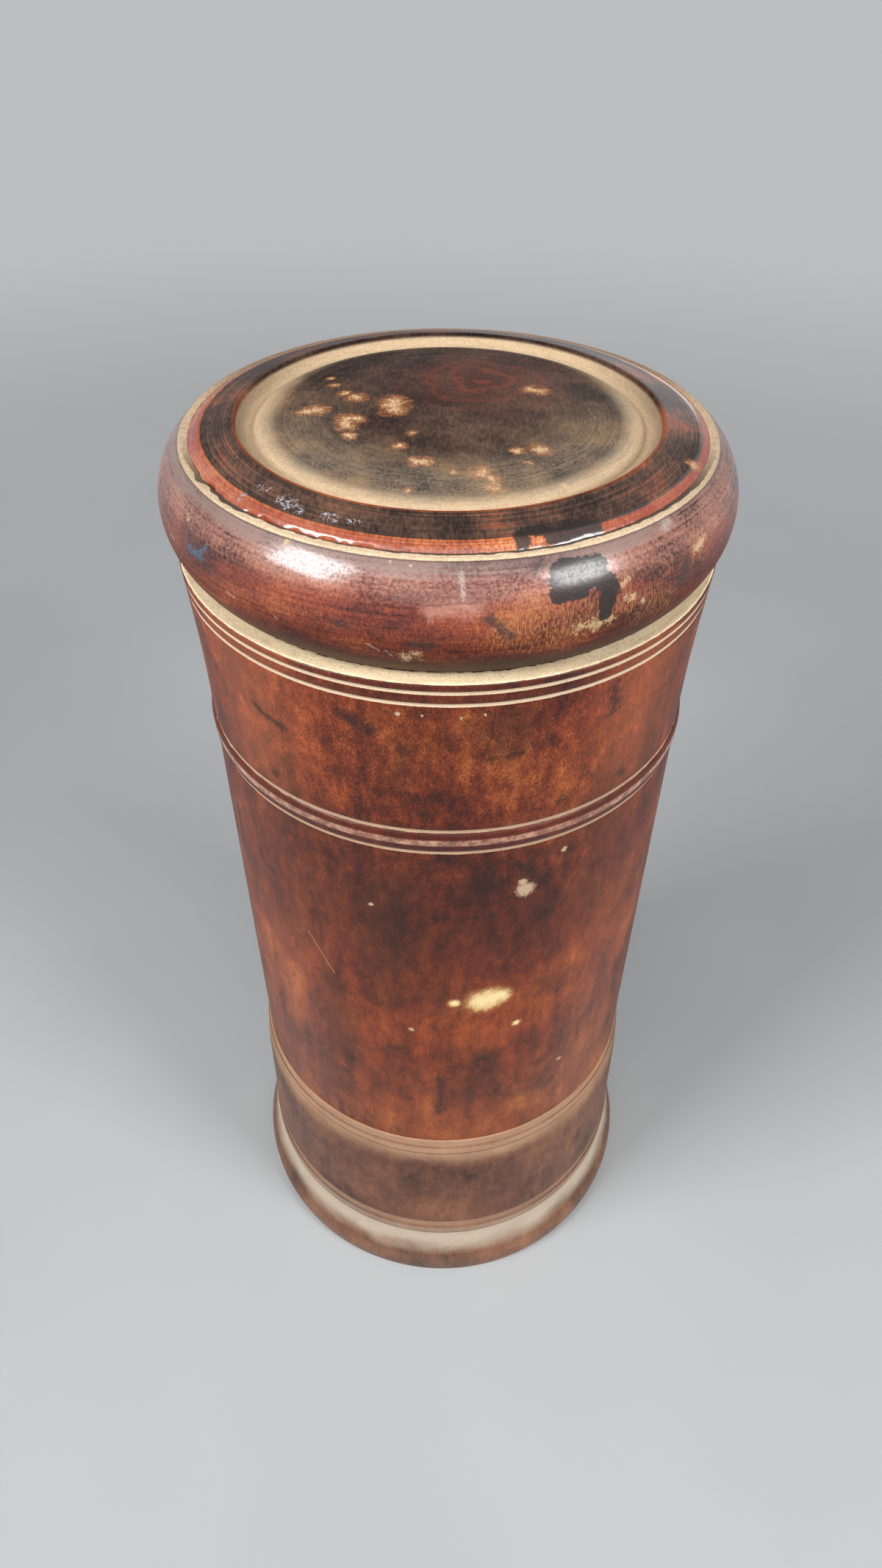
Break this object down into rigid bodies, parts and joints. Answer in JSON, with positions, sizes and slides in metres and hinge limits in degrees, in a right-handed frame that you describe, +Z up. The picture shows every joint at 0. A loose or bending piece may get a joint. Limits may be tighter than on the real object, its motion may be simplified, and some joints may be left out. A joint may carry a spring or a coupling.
{
  "type": "lidded canister",
  "caption": "Tall turned wooden canister: a bored barrel with incised lines on a moulded plinth, closed by a heavy half-round lid with a domed panel that lifts off.",
  "frame": {"origin": "middle of the foot, on the table", "axes": "+Z up along the turning axis; -Y towards the pictured side"},
  "size_m": [0.1024, 0.1024, 0.2179],
  "materials": {
    "barrel_wood": "red-brown stain under worn varnish, dust in the turned lines",
    "plinth_wood": "red-brown stain under worn varnish, pale dust on the mouldings",
    "floor_wood": "bare turned wood",
    "lid_ring_wood": "red-brown stain under glossy worn varnish",
    "lid_panel_wood": "dark worn stain, edges rubbed to orange, dust in the cove"
  },
  "bodies": {
    "base": {"barrel": "barrel_wood", "plinth": "plinth_wood", "floor_disc": "floor_wood"},
    "lid": {"lid_ring": "lid_ring_wood", "lid_panel": "lid_panel_wood"}
  },
  "joints": [
    {"name": "lid_lift", "type": "slide", "parent": "base", "child": "lid", "axis": [0, 0, 1], "range_m": [0, 0.08]}
  ]
}
